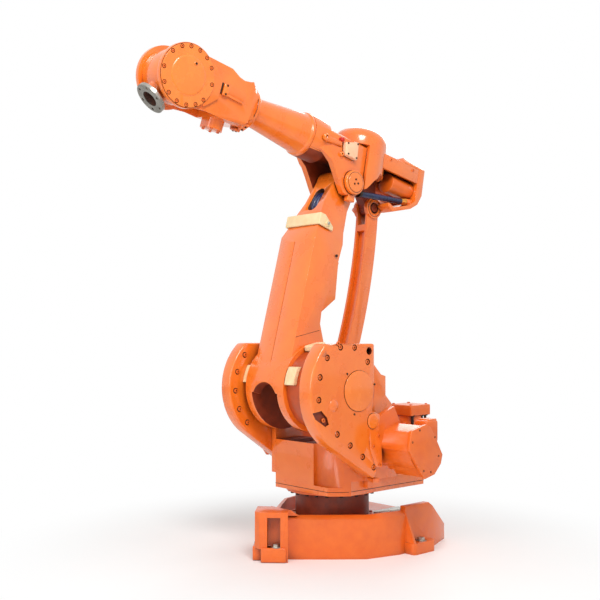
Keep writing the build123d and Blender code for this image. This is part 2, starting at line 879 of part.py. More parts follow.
def arm_motor(name, y):
    with BuildPart() as motor:
        with BuildSketch(tail_plane(end_plate_inner + seat_gap)):
            with Locations((y, arm_motor_v)):
                Circle(arm_motor_radius)
        extrude(amount=arm_motor_length)
    save(motor, name)


arm_motor("left_arm_motor", arm_motor_y)
arm_motor("right_arm_motor", -arm_motor_y)


def pivot_cap(name, outward):
    with BuildPart() as cap:
        with BuildSketch(upper_side(outward * (ear_outer + seat_gap))):
            Circle(cap_radius)
        extrude(amount=-outward * cap_thickness)
    save(cap, name)


pivot_cap("left_pivot_cap", 1)
pivot_cap("right_pivot_cap", -1)

with BuildPart() as elbow_pin:
    with BuildSketch(upper_side(ear_inner - seat_gap)):
        Circle(elbow_pin_radius)
    extrude(amount=2 * (ear_inner - seat_gap))
save(elbow_pin, "elbow_pin")

with BuildPart() as junction_box_cover:
    with BuildSketch(upper_side(ear_outer + seat_gap)):
        outline((11, 94), (77, 97), (88, 150), (14, 172))
    extrude(amount=-box_thickness)
save(junction_box_cover, "junction_box_cover")

# Forearm tube
with BuildPart() as forearm_tube:
    with BuildSketch(Plane(origin=root, x_dir=reach, z_dir=(0, -1, 0))):
        outline(
            (tube_start + seat_gap, 0), (tube_start + seat_gap, tube_back_radius + tube_lip),
            (tube_start + 14, tube_back_radius + tube_lip), (tube_start + 20, tube_back_radius),
            (forearm_length - ring_back - 30, tube_front_radius),
            (forearm_length - ring_back - 14, ring_half_height),
            (forearm_length - ring_back, ring_half_height),
            (forearm_length - ring_back, 0),
        )
    revolve(axis=Axis(tuple(root), tuple(reach)))
save(forearm_tube, "forearm_tube")

with BuildPart() as wrist_housing:
    with BuildSketch(wrist_side(0)):
        Circle(wrist_radius)
        outline((-150, 38), (-151, -32), (-100, -80), (0, -60), (0, 60), (-100, 90))
    extrude(amount=wrist_half_width, both=True)
    # Neck towards the forearm, lower than the head
    with BuildSketch(wrist_side(0)):
        outline(
            (-ring_back + seat_gap, ring_half_height + 5), (-306, 95), (-282, 85), (-253, 79), (-228, 83),
            (-186, 101), (-60, 103), (-60, -100), (-119, -92), (-177, -93), (-325, -ring_half_height),
            (-ring_back + seat_gap, -ring_half_height),
        )
    extrude(amount=neck_half_width, both=True)
    with BuildSketch(wrist_side(0)):
        outline((-266, 38), (-148, 38), (-148, -2), (-266, -2))
    extrude(amount=neck_half_width + 4, both=True)
    with BuildSketch(Plane(origin=wrist - reach * 207 - bend_rise * 131, x_dir=reach, z_dir=bend_rise)):
        Circle(neck_boss_radius)
    extrude(amount=80)
    # Slot of the tilting head
    with BuildSketch(wrist_side(0)):
        with Locations((2 * wrist_radius - slot_depth, 0)):
            Rectangle(4 * wrist_radius, 4 * wrist_radius)
    extrude(amount=wrist_slot_half_width, both=True, mode=Mode.SUBTRACT)
save(wrist_housing, "wrist_housing")


def wrist_cover(name, outward):
    with BuildPart() as cover:
        with BuildSketch(wrist_side(outward * (wrist_half_width + seat_gap))):
            Circle(wrist_radius - 4)
        extrude(amount=-outward * wrist_cover_thickness)
    save(cover, name)


wrist_cover("left_wrist_cover", 1)
wrist_cover("right_wrist_cover", -1)

with BuildPart() as tilt_head:
    with BuildSketch(wrist_side(0)):
        Circle(tilt_radius)
    extrude(amount=tilt_half_width, both=True)
    with BuildSketch(tool_section(0)):
        Circle(neck_radius)
    extrude(amount=flange_distance - tool_flange_thickness - tool_hub_length)
    with BuildSketch(tool_section(flange_distance - 80)):
        Circle(tool_bore_radius - 4)
    extrude(amount=100, mode=Mode.SUBTRACT)
save(tilt_head, "tilt_head")


def tilt_trunnion(name, outward):
    with BuildPart() as trunnion:
        with BuildSketch(wrist_side(outward * (tilt_half_width + seat_gap))):
            Circle(trunnion_radius)
        extrude(amount=-outward * (wrist_slot_half_width - tilt_half_width - 2 * seat_gap))
    save(trunnion, name)


tilt_trunnion("left_trunnion", 1)
tilt_trunnion("right_trunnion", -1)

with BuildPart() as tool_flange:
    with BuildSketch(tool_section(flange_distance)):
        Circle(tool_flange_radius)
        Circle(tool_bore_radius, mode=Mode.SUBTRACT)
        with PolarLocations(tool_pitch_radius, tool_hole_count):
            Circle(tool_hole_radius, mode=Mode.SUBTRACT)
    extrude(amount=-tool_flange_thickness)
    with BuildSketch(tool_section(flange_distance - tool_flange_thickness)):
        Circle(tool_hub_radius)
        Circle(tool_bore_radius, mode=Mode.SUBTRACT)
    extrude(amount=seat_gap - tool_hub_length)
save(tool_flange, "tool_flange")

# Hose along the tail
with BuildPart() as tail_hose:
    with BuildSketch(Plane(
        origin=elbow + reach * hose_from[0] + rise * hose_from[1] + side * hose_y, x_dir=(0, 1, 0),
        z_dir=hose_direction,
    )):
        Circle(hose_radius)
    extrude(amount=(hose_from[0] - hose_to[0]) / -hose_way[0])
save(tail_hose, "tail_hose")
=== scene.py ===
import json
import math

import bmesh
import bpy
from mathutils import Matrix, Vector


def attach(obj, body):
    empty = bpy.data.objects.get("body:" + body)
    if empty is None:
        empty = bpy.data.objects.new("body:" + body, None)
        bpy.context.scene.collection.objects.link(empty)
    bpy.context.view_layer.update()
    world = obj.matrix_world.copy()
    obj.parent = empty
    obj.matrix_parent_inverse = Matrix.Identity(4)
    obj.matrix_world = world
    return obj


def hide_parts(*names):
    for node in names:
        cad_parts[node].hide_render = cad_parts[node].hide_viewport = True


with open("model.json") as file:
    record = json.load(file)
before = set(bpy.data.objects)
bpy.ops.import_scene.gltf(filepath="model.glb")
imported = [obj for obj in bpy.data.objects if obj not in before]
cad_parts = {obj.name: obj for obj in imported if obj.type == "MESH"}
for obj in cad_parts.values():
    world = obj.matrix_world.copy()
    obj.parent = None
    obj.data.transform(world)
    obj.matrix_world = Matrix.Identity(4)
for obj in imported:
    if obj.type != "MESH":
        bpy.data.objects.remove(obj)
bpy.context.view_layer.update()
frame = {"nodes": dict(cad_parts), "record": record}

MM = 0.001

# The photograph's camera, in millimetres and degrees
CAMERA_PLACE = (2674.0, 2768.4, 899.0)
CAMERA_HEADING = 48.03
CAMERA_PITCH = 2.157
CAMERA_LENS = 53.78
CAMERA_SENSOR = 36.0

# Driving sizes of the arm, as in the part, in millimetres and degrees
AXIS_2 = Vector((200.0, 0.0, 680.0))
ARM_LEAN = -14.8
ARM_LENGTH = 890.0
ARM_OFFSET = 150.0
FOREARM_PITCH = 11.0
FOREARM_LENGTH = 880.0
WRIST_ROLL = -9.5
WRIST_BEND = 55.5
FLANGE_DISTANCE = 140.0

# Outer faces of the two gear housings, and the inner face of the far one
LEFT_PLATE = 354.0
RIGHT_PLATE = -208.0
RIGHT_PLATE_INNER = -150.0
# The turntable's round front corner, the step in its front wall and its split line
CORNER_RADIUS = 290.0
CORNER_START, CORNER_END = 40.0, 74.0
STEP_LEVEL = 292.0
SPLIT_LEVEL = 274.0
# Where the motor of axis 1 stands
AXIS_1_MOTOR = Vector((-330, 150, 0))
# The left front foot of the base and the way it points
FOOT_MIDDLE = Vector((372, 54, 0))
FOOT_OUT = Vector((math.sqrt(0.5), math.sqrt(0.5), 0))
# The hose behind the elbow and the two cables in the arm
HOSE_SIDE = 79.0
HOSE_RADIUS = 13.0
CABLE_RADIUS = 10.0
# Radius and depth of the pockets that screws sit in
HOUSING_POCKET_RADIUS, HOUSING_POCKET = 12.5, 7.0
COVER_POCKET_RADIUS, COVER_POCKET = 8.6, 3.4
# The window in the lower arm's slope, and what keeps its floor and the cables off the solid
WINDOW_DEPTH = 40.0
CLEARANCE = 0.3
# Where fittings sit on the outer faces of the arm's castings, from the middle plane
LOWER_ARM_SIDE = 107.1
UPPER_ARM_SIDE = 98.5
PIVOT_CAP_FACE = 118.3
WRIST_COVER_FACE = 90.6
# How far a cutter stands out of the face it cuts, and the sides of a drilled hole
OVERSHOOT = 4.0
HOLE_SIDES = 24
# Degrees: edges above these stay sharp to the eye, get rounded, and are dissolved as flat
CASTING_SHARP = 30
PIECE_SHARP = 35
ROUNDED_FROM = 28
FLAT_BELOW = 0.6
# Vertices nearer than this are one
MERGE_DISTANCE = 0.02

SIDES = ((1, "left"), (-1, "right"))
# Each gear housing's name, outer face, way out, and the size of its fittings against the near one's
HOUSINGS = (("left", LEFT_PLATE, 1, 1.0), ("right", RIGHT_PLATE, -1, 0.94))

BODY_OF = {node: body for body, nodes in frame["record"]["behaviour"]["bodies"].items() for node in nodes}


# Directions and places, in millimetres

def turned(angle):
    """The direction at an angle up from straight ahead."""
    return Vector((math.cos(math.radians(angle)), 0.0, math.sin(math.radians(angle))))


X_WAY, Z_WAY = Vector((1, 0, 0)), Vector((0, 0, 1))
side = Vector((0.0, 1.0, 0.0))
arm_forwards = turned(-ARM_LEAN)
arm_along = turned(90 - ARM_LEAN)
elbow = AXIS_2 + arm_along * ARM_LENGTH
reach = turned(FOREARM_PITCH)
rise = turned(FOREARM_PITCH + 90)
root = elbow + rise * ARM_OFFSET
wrist = root + reach * FOREARM_LENGTH
bend_axis = side * math.cos(math.radians(WRIST_ROLL)) + rise * math.sin(math.radians(WRIST_ROLL))
bend_rise = reach.cross(bend_axis)
tool = reach * math.cos(math.radians(WRIST_BEND)) - bend_rise * math.sin(math.radians(WRIST_BEND))


def body_point(x, y, z):
    """A point given from axis 2 along the floor's directions."""
    return AXIS_2 + Vector((x, y, z))


def arm_point(forwards, y, along):
    """A point given from axis 2 along the lower arm."""
    return AXIS_2 + arm_forwards * forwards + side * y + arm_along * along


def upper_point(u, y, v):
    """A point given from the elbow along the upper arm."""
    return elbow + reach * u + side * y + rise * v


def wrist_point(x, w, y):
    """A point given from the wrist's bend axis."""
    return wrist + reach * x + bend_axis * w + bend_rise * y


def around(centre, first, second, radius, angle):
    """A point on a circle; first and second are the directions of 0 and 90 degrees."""
    turn = math.radians(angle)
    return centre + first * radius * math.cos(turn) + second * radius * math.sin(turn)


def tube_point(u, angle, radius):
    """A point round the forearm's axis; 0 degrees is to the left and 90 up."""
    return around(root + reach * u, side, rise, radius, angle)


def circle(centre, first, second, radius, steps=72):
    """Points all round a circle."""
    return [around(centre, first, second, radius, 360 * i / steps) for i in range(steps)]


def ring_places(centre, first, second, direction, radius, angles):
    """Places for screws on a circle, each as (point, direction)."""
    return [(around(centre, first, second, radius, angle), direction) for angle in angles]


def sunk(places, depth):
    """The same places moved down into their pockets."""
    return [(point - direction * depth, direction) for point, direction in places]


# Nodes and materials

def linear(hex_colour):
    """An sRGB hex colour as linear red, green, blue and alpha."""
    values = [int(hex_colour[i:i + 2], 16) / 255 for i in (1, 3, 5)]
    return [v / 12.92 if v <= 0.04045 else ((v + 0.055) / 1.055) ** 2.4 for v in values] + [1.0]


def add_node(tree, kind, settings=None, inputs=None, links=None):
    """One node with its settings, its input values and its links, each from (node, output)."""
    node = tree.nodes.new(kind)
    for key, value in (settings or {}).items():
        setattr(node, key, value)
    for key, value in (inputs or {}).items():
        node.inputs[key].default_value = value
    for key, (source, output) in (links or {}).items():
        tree.links.new(source.outputs[output], node.inputs[key])
    return node


# Where the noise of the patches turns from one tone to the other
PATCH_LOW, PATCH_HIGH = 0.3, 0.7
# How far away a wall still darkens a corner with painted shade, and how open the darkest shaded places and
# the first unshaded places are
SHADE_REACH = 90.0
FULL_SHADE, NO_SHADE = 0.08, 0.58


def finish(name, colours, roughness, patch_mm, grain_mm, bump_mm, shader_inputs, corner_shade=None):
    """A surface whose tone and gloss drift in patches, with a fine relief and painted shade in its corners.
    """
    material = bpy.data.materials.new(name)
    material.use_nodes = True
    tree = material.node_tree
    tree.nodes.clear()
    place = add_node(tree, "ShaderNodeTexCoord")
    patches = add_node(tree, "ShaderNodeTexNoise",
                       inputs={"Scale": 1 / (patch_mm * MM), "Detail": 4.0, "Roughness": 0.6},
                       links={"Vector": (place, "Object")})
    grain = add_node(tree, "ShaderNodeTexNoise", inputs={"Scale": 1 / (grain_mm * MM), "Detail": 2.0},
                     links={"Vector": (place, "Object")})
    tone = add_node(tree, "ShaderNodeValToRGB", links={"Fac": (patches, "Fac")})
    for stop, position, colour in zip(tone.color_ramp.elements, (PATCH_LOW, PATCH_HIGH), colours):
        stop.position = position
        stop.color = linear(colour)
    seen_colour = (tone, "Color")
    if corner_shade:
        # Painted shade: the colour darkens towards the shade colour where ambient occlusion finds walls close
        # by
        openness = add_node(tree, "ShaderNodeAmbientOcclusion", {"samples": 8}, {"Distance": SHADE_REACH * MM})
        unshaded_share = add_node(tree, "ShaderNodeMapRange", {"interpolation_type": "SMOOTHSTEP"},
                         inputs={"From Min": FULL_SHADE, "From Max": NO_SHADE}, links={"Value": (openness, "AO")})
        shaded_colour = add_node(tree, "ShaderNodeMix", {"data_type": "RGBA"}, {6: linear(corner_shade)},
                         links={0: (unshaded_share, "Result"), 7: (tone, "Color")})
        seen_colour = (shaded_colour, 2)
    gloss = add_node(tree, "ShaderNodeMapRange", links={"Value": (patches, "Fac")},
                     inputs={"From Min": PATCH_LOW, "From Max": PATCH_HIGH,
                             "To Min": roughness[0], "To Max": roughness[1]})
    relief = add_node(tree, "ShaderNodeBump", inputs={"Strength": 1.0, "Distance": bump_mm * MM},
                      links={"Height": (grain, "Fac")})
    shader = add_node(tree, "ShaderNodeBsdfPrincipled", inputs=shader_inputs,
                      links={"Base Color": seen_colour, "Roughness": (gloss, "Result"),
                             "Normal": (relief, "Normal")})
    add_node(tree, "ShaderNodeOutputMaterial", links={"Surface": (shader, "BSDF")})
    return material


# Gloss enamel sprayed on cast iron: a wet orange with a faint orange-peel relief about 3 mm across
casting_enamel = finish("orange_enamel_on_cast_iron", ("#EE6E16", "#F27A20"), (0.24, 0.34), 90, 3.2, 0.05,
                        {"IOR": 1.5, "Coat Weight": 0.8, "Coat Roughness": 0.05}, "#8A3208")
# The same enamel on turned and plate covers, smoother and a shade paler
cover_enamel = finish("orange_enamel_on_covers", ("#F27616", "#F68022"), (0.22, 0.3), 60, 2.4, 0.02,
                      {"IOR": 1.5, "Coat Weight": 0.8, "Coat Roughness": 0.04}, "#8A3208")
# The enamel of motors and the base, handled and duller, and painted a little redder and darker as painted
# shade
shaded_worn_enamel = finish("shaded_and_worn_orange_enamel", ("#E2620E", "#EA6D16"), (0.34, 0.5), 45, 3.0, 0.06,
                     {"IOR": 1.5, "Coat Weight": 0.4, "Coat Roughness": 0.1}, "#7A2A08")
# Bare turned steel of the tool flange and shafts, with a soft grey sheen
turned_steel = finish("turned_steel", ("#A09C94", "#BDB9B0"), (0.22, 0.36), 30, 1.2, 0.02, {"Metallic": 1.0})
# Blackened steel of posts and the hose's collar, near black with a dull shine
black_steel = finish("blackened_bolt_steel", ("#2C2420", "#453A33"), (0.35, 0.5), 12, 1.5, 0.02,
                     {"Metallic": 0.8})
# Moulded polyurethane of the bumper strap and stops, cream and slightly waxy
bumper_cream = finish("cream_polyurethane", ("#E7C896", "#F2DBAF"), (0.4, 0.55), 35, 2.0, 0.03,
                      {"IOR": 1.5, "Subsurface Weight": 0.1, "Subsurface Scale": 0.004})
# Hose rubber, blue-black and smooth
hose_rubber = finish("blue_black_hose_rubber", ("#161D3C", "#26305C"), (0.22, 0.34), 25, 1.5, 0.02,
                     {"IOR": 1.5})
# Painted shadow and old oil in gaps and round screws, dark brown and matt
gap_shade_and_grime = finish("painted_shade_and_grime_in_gaps", ("#2A120A", "#4A2412"), (0.6, 0.8), 20, 2.0, 0.05, {"IOR": 1.45})
# Enamel darkened by painted shade and old oil inside forks and pockets and on the ring of axis 1, brown and
# half matt
shade_and_oil_enamel = finish("painted_shade_and_oil_inside", ("#6E2408", "#8C3310"), (0.4, 0.6), 40, 3.0, 0.06, {"IOR": 1.5},
                     "#2A0E06")
# Gear cases between the housings: enamel painted dark brown as painted shade of the deep gap, and duller
shaded_gear_case_enamel = finish("painted_shade_enamel_on_gear_cases", ("#A83E0C", "#C04C12"), (0.36, 0.5), 50, 3.0, 0.05,
                       {"IOR": 1.5, "Coat Weight": 0.15}, "#401404")
# Yellow-chromated brass plugs and fittings, dull gold
brass_plug = finish("chromated_brass", ("#C98A3A", "#E0A552"), (0.3, 0.42), 12, 1.2, 0.02, {"Metallic": 0.85})
# Moulded red plastic cap, glossy
red_plastic = finish("red_moulded_plastic", ("#B81E12", "#CC2A1A"), (0.28, 0.38), 14, 1.5, 0.02,
                     {"IOR": 1.48})
# Pale powder coat of the small box cover, nearly white with an orange tint
box_coat = finish("pale_orange_powder_coat", ("#F9BE94", "#FBCBA6"), (0.4, 0.5), 30, 1.6, 0.03, {"IOR": 1.5})


# Objects and meshes

def add_object(name, data):
    """An object in the scene that shows the data."""
    thing = bpy.data.objects.new(name, data)
    bpy.context.scene.collection.objects.link(thing)
    return thing


def new_piece(name, mesh, body, material):
    """An added piece of one material that rides on a body."""
    piece = add_object(name, mesh)
    piece.data.materials.clear()
    piece.data.materials.append(material)
    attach(piece, body)


def evaluated_mesh(piece):
    """A new mesh of the piece with its modifiers applied."""
    graph = bpy.context.evaluated_depsgraph_get()
    return bpy.data.meshes.new_from_object(piece.evaluated_get(graph))


def mesh_of(name, shape):
    """A mesh of what the shape holds; the shape is used up."""
    mesh = bpy.data.meshes.new(name)
    shape.to_mesh(mesh)
    shape.free()
    return mesh


def smooth(mesh, sharp_angle=None):
    """Shades the mesh smooth, but for edges sharper than the angle where one is given."""
    for polygon in mesh.polygons:
        polygon.use_smooth = True
    if sharp_angle:
        mesh.set_sharp_from_angle(angle=math.radians(sharp_angle))


def add_shape(name, body, shape, material, edge=None):
    """The shape as a piece on a body; edge is the radius that all its edges get first."""
    if edge:
        bmesh.ops.bevel(shape, geom=shape.edges[:], offset=edge * MM, segments=3, profile=0.5, affect="EDGES")
    mesh = mesh_of(name, shape)
    smooth(mesh, PIECE_SHARP)
    new_piece(name, mesh, body, material)


def add_vertices(shape, points):
    """New vertices at points in millimetres."""
    return [shape.verts.new(point * MM) for point in points]


def walls(shape, low, high):
    """Faces from one ring of vertices to the next, which may be a single point."""
    for i in range(len(low)):
        k = (i + 1) % len(low)
        shape.faces.new((low[i], low[k], high[0]) if len(high) == 1 else (low[i], low[k], high[k], high[i]))


def tube(shape, rings):
    """Walls from ring to ring, and a flat face at each open end."""
    for low, high in zip(rings, rings[1:]):
        walls(shape, low, high)
    shape.faces.new(list(reversed(rings[0])))
    if len(rings[-1]) > 1:
        shape.faces.new(rings[-1])


def loop(shape, rings):
    """Walls from ring to ring and from the last to the first."""
    for low, high in zip(rings, rings[1:] + rings[:1]):
        walls(shape, low, high)


def prism(shape, corners, direction, low, high):
    """A straight-walled body between two heights; corners run anticlockwise seen from the high end."""
    tube(shape, [add_vertices(shape, [corner + direction * height for corner in corners])
                 for height in (low, high)])


def sink(shape, corners, direction, depth):
    """Adds a recess with the given outline to a cutter."""
    prism(shape, corners, direction, -depth, OVERSHOOT)


def drill(shape, point, direction, radius, depth):
    """Adds one flat-bottomed hole to a cutter."""
    axis = direction.normalized()
    first = axis.orthogonal().normalized()
    sink(shape, circle(point, first, axis.cross(first), radius, HOLE_SIDES), axis, depth)


def cut_out(piece, cutter, cut_finish):
    """Takes the cutter's shape out of the piece; the new walls get their own finish."""
    bmesh.ops.recalc_face_normals(cutter, faces=cutter.faces)
    cutter_piece = add_object("cutter", mesh_of("cutter", cutter))
    cutter_piece.data.materials.append(cut_finish)
    cut = piece.modifiers.new("cut", "BOOLEAN")
    cut.operation = "DIFFERENCE"
    cut.solver = "EXACT"
    cut.use_self = True
    cut.material_mode = "TRANSFER"
    cut.object = cutter_piece
    finished = evaluated_mesh(piece)
    piece.modifiers.clear()
    piece.data = finished
    bpy.data.objects.remove(cutter_piece)


def soft_edges(node, width_mm, material, cutter=None, cut_finish=None, inside=None):
    """A copy of a CAD casting with its edges rounded as a casting's are; it stands for the node."""
    mesh = frame["nodes"][node].data.copy()
    mesh.materials.clear()
    shape = bmesh.new()
    shape.from_mesh(mesh)
    bmesh.ops.remove_doubles(shape, verts=shape.verts, dist=MERGE_DISTANCE * MM)
    bmesh.ops.dissolve_limit(shape, angle_limit=math.radians(FLAT_BELOW), verts=shape.verts,
                             edges=shape.edges)
    shape.to_mesh(mesh)
    shape.free()
    copy = add_object(node + "_cast", mesh)
    bevel = copy.modifiers.new("edges", "BEVEL")
    bevel.width = width_mm * MM
    bevel.segments = 3
    bevel.limit_method = "ANGLE"
    bevel.angle_limit = math.radians(ROUNDED_FROM)
    bevel.use_clamp_overlap = True
    bevel.miter_outer = "MITER_ARC"
    finished = evaluated_mesh(copy)
    copy.modifiers.clear()
    copy.data = finished
    finished.materials.clear()
    finished.materials.append(material)
    if inside:
        # The inner walls, where painted shade and old oil darken the enamel
        finished.materials.append(shade_and_oil_enamel)
        for polygon in finished.polygons:
            if inside(polygon.center / MM, polygon.normal):
                polygon.material_index = 1
    if cutter:
        cut_out(copy, cutter, cut_finish or gap_shade_and_grime)
    smooth(copy.data, CASTING_SHARP)
    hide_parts(node)
    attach(copy, BODY_OF[node])


# Camera, light and surroundings

def aim(thing, direction):
    """Turns a camera or a light to look along a direction."""
    thing.rotation_mode = "QUATERNION"
    thing.rotation_quaternion = direction.to_track_quat("-Z", "Y")


def make_camera():
    heading, pitch = math.radians(CAMERA_HEADING), math.radians(CAMERA_PITCH)
    data = bpy.data.cameras.new("camera")
    data.lens = CAMERA_LENS
    data.sensor_width = CAMERA_SENSOR
    camera = add_object("camera", data)
    camera.location = Vector(CAMERA_PLACE) * MM
    aim(camera, Vector((-math.cos(heading) * math.cos(pitch), -math.sin(heading) * math.cos(pitch),
                        math.sin(pitch))))
    bpy.context.scene.camera = camera


def make_lights():
    """Round soft lights; places and sizes in metres, powers in watts."""
    middle_of_robot = Vector((0.1, 0, 0.9))
    for name, place, size, power in (
        ("key", (1.6, 2.6, 3.6), 1.6, 98),
        ("fill", (3.6, 0.6, 1.8), 2.2, 40),
        ("back", (-2.6, -1.6, 3.0), 1.6, 30),
    ):
        data = bpy.data.lights.new(name, "AREA")
        data.shape = "DISK"
        data.size = size
        data.energy = power
        light = add_object(name, data)
        light.location = place
        aim(light, middle_of_robot - Vector(place))


def make_world():
    """White to the camera and in reflections, and softer as a light."""
    world = bpy.data.worlds.new("world")
    bpy.context.scene.world = world
    world.use_nodes = True
    tree = world.node_tree
    tree.nodes.clear()
    path = add_node(tree, "ShaderNodeLightPath")
    plain_white = linear("#FFFFFF")
    soft = add_node(tree, "ShaderNodeBackground", inputs={"Color": plain_white, "Strength": 0.44})
    white = add_node(tree, "ShaderNodeBackground", inputs={"Color": plain_white, "Strength": 1.0})
    seen = add_node(tree, "ShaderNodeMath", {"operation": "MAXIMUM"},
                    links={0: (path, "Is Camera Ray"), 1: (path, "Is Glossy Ray")})
    mix = add_node(tree, "ShaderNodeMixShader",
                   links={0: (seen, "Value"), 1: (soft, "Background"), 2: (white, "Background")})
    add_node(tree, "ShaderNodeOutputWorld", links={"Surface": (mix, "Shader")})


def make_floor():
    """A floor that fades to plain white away from the robot; distances in metres."""
    half = 12.0
    fade_from, fade_to = 0.55, 1.5
    mesh = bpy.data.meshes.new("floor")
    mesh.from_pydata([(-half, -half, 0), (half, -half, 0), (half, half, 0), (-half, half, 0)], [],
                     [(0, 1, 2, 3)])
    floor = add_object("floor", mesh)
    # Pale painted studio floor, matt and even
    paint = finish("pale_floor_paint", ("#FBFBFA", "#FDFDFC"), (0.75, 0.85), 400, 4.0, 0.01, {"IOR": 1.4})
    tree = paint.node_tree
    shader = next(node for node in tree.nodes if node.type == "BSDF_PRINCIPLED")
    out = next(node for node in tree.nodes if node.type == "OUTPUT_MATERIAL")
    place = add_node(tree, "ShaderNodeTexCoord")
    distance = add_node(tree, "ShaderNodeVectorMath", {"operation": "LENGTH"}, links={0: (place, "Object")})
    away = add_node(tree, "ShaderNodeMapRange", {"interpolation_type": "SMOOTHSTEP"},
                    inputs={"From Min": fade_from, "From Max": fade_to, "To Min": 0.0, "To Max": 1.0},
                    links={"Value": (distance, "Value")})
    path = add_node(tree, "ShaderNodeLightPath")
    seen = add_node(tree, "ShaderNodeMath", {"operation": "MULTIPLY"},
                    links={0: (away, "Result"), 1: (path, "Is Camera Ray")})
    white = add_node(tree, "ShaderNodeEmission", inputs={"Color": linear("#FFFFFF"), "Strength": 1.0})
    mixed = add_node(tree, "ShaderNodeMixShader",
                     links={0: (seen, "Value"), 1: (shader, "BSDF"), 2: (white, "Emission")})
    tree.links.new(mixed.outputs["Shader"], out.inputs["Surface"])
    floor.data.materials.append(paint)


# Screws, set by Geometry Nodes on points that carry a direction

def head_mesh(name, profile, sides, looped=False):
    """A screw's head in millimetres, from rings of (radius, height, whether the ring is six-sided)."""
    shape = bmesh.new()
    rings = []
    for radius, height, six in profile:
        ring = []
        for i in range(sides):
            turn = 2 * math.pi * i / sides
            flat = math.cos(math.pi / 6) / math.cos(turn % (math.pi / 3) - math.pi / 6) if six else 1.0
            out = radius * flat
            ring.append(shape.verts.new((out * math.cos(turn), out * math.sin(turn), height)))
        rings.append(ring)
    if looped:
        loop(shape, rings)
    else:
        tube(shape, rings)
    return mesh_of(name, shape)


def screw_head(radius, height, socket, sides=20):
    """A socket head: slanted rim, flat top and a hexagonal recess."""
    return head_mesh("screw_head", ((radius, 0.0, False), (radius, height * 0.85, False),
                                    (radius * 0.9, height, False), (socket, height, True),
                                    (socket, height * 0.35, True)), sides)


def hexagon_head(radius, height):
    """A hexagon bolt's head on its washer."""
    return head_mesh("hexagon_head", ((radius * 1.5, 0.0, False), (radius * 1.5, height * 0.2, False),
                                      (radius, height * 0.2, True), (radius, height * 0.9, True),
                                      (radius * 0.86, height, True)), 24)


def pocket_ring(inner, outer, depth):
    """The dark ring round a screw that sits in a counterbore, painted as the shade of the pocket."""
    return head_mesh("pocket_ring", ((outer, -depth, False), (outer, depth * 0.12, False),
                                     (inner, depth * 0.12, False), (inner, -depth, False)), 20, looped=True)


def scatter_tree():
    """Sets one head on every point, turned to the point's own direction."""
    tree = bpy.data.node_groups.new("heads_on_points", "GeometryNodeTree")
    face = tree.interface
    face.new_socket("Points", in_out="INPUT", socket_type="NodeSocketGeometry")
    face.new_socket("Head", in_out="INPUT", socket_type="NodeSocketObject")
    face.new_socket("Head Size", in_out="INPUT", socket_type="NodeSocketFloat").default_value = MM
    face.new_socket("Finish", in_out="INPUT", socket_type="NodeSocketMaterial")
    face.new_socket("Heads", in_out="OUTPUT", socket_type="NodeSocketGeometry")
    group_in = add_node(tree, "NodeGroupInput")
    head = add_node(tree, "GeometryNodeObjectInfo", {"transform_space": "ORIGINAL"}, {"As Instance": True},
                    {"Object": (group_in, "Head")})
    facing = add_node(tree, "GeometryNodeInputNamedAttribute", {"data_type": "FLOAT_VECTOR"},
                      {"Name": "facing"})
    turn = add_node(tree, "FunctionNodeAlignRotationToVector", {"axis": "Z"},
                    links={"Vector": (facing, "Attribute")})
    points = add_node(tree, "GeometryNodeMeshToPoints", links={"Mesh": (group_in, "Points")})
    placed = add_node(tree, "GeometryNodeInstanceOnPoints",
                      links={"Points": (points, "Points"), "Instance": (head, "Geometry"),
                             "Rotation": (turn, "Rotation"), "Scale": (group_in, "Head Size")})
    real = add_node(tree, "GeometryNodeRealizeInstances", links={"Geometry": (placed, "Instances")})
    painted = add_node(tree, "GeometryNodeSetMaterial",
                       links={"Geometry": (real, "Geometry"), "Material": (group_in, "Finish")})
    add_node(tree, "NodeGroupOutput", links={"Heads": (painted, "Geometry")})
    return tree


HEADS_ON_POINTS = scatter_tree()


def heads(name, body, head_shape, places, material):
    """One mesh of heads on one body; places are (point in mm, direction)."""
    mesh = bpy.data.meshes.new(name)
    mesh.from_pydata([tuple(point * MM) for point, _ in places], [], [])
    facing = mesh.attributes.new("facing", "FLOAT_VECTOR", "POINT")
    for i, (_, direction) in enumerate(places):
        facing.data[i].vector = direction.normalized()
    carrier = add_object(name, mesh)
    head = bpy.data.objects.new(name + "_head", head_shape)
    modifier = carrier.modifiers.new("heads", "NODES")
    modifier.node_group = HEADS_ON_POINTS
    for socket in HEADS_ON_POINTS.interface.items_tree:
        if socket.name == "Head":
            modifier[socket.identifier] = head
        elif socket.name == "Finish":
            modifier[socket.identifier] = material
    baked = evaluated_mesh(carrier)
    carrier.modifiers.clear()
    carrier.data = baked
    bpy.data.objects.remove(head)
    baked.set_sharp_from_angle(angle=math.radians(PIECE_SHARP))
    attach(carrier, body)


# Added pieces

def spun(name, body, centre, axis, profile, material, sides=64):
    """A turned piece: profile is (radius, height) along the axis, from outside bottom to the middle."""
    axis = axis.normalized()
    first = axis.orthogonal().normalized()
    second = axis.cross(first)
    shape = bmesh.new()
    tube(shape, [add_vertices(shape, circle(centre + axis * height, first, second, radius,
                                            sides if radius else 1)) for radius, height in profile])
    add_shape(name, body, shape, material)


def block(name, body, centre, x_way, y_way, size, edge, material):
    """A cast block with rounded edges; size runs along x_way, y_way and their normal."""
    x_way, y_way = x_way.normalized(), y_way.normalized()
    turn = Matrix((x_way, y_way, x_way.cross(y_way))).transposed().to_4x4()
    stretch = Matrix.Diagonal((*(length * MM for length in size), 1.0))
    shape = bmesh.new()
    bmesh.ops.create_cube(shape, size=1.0, matrix=Matrix.Translation(centre * MM) @ turn @ stretch)
    add_shape(name, body, shape, material, edge)


def slab(name, body, corners, direction, depth, edge, material):
    """A cast plate of the given outline, grown along direction, with rounded edges."""
    shape = bmesh.new()
    prism(shape, corners, direction, 0, depth)
    bmesh.ops.recalc_face_normals(shape, faces=shape.faces)
    add_shape(name, body, shape, material, edge)


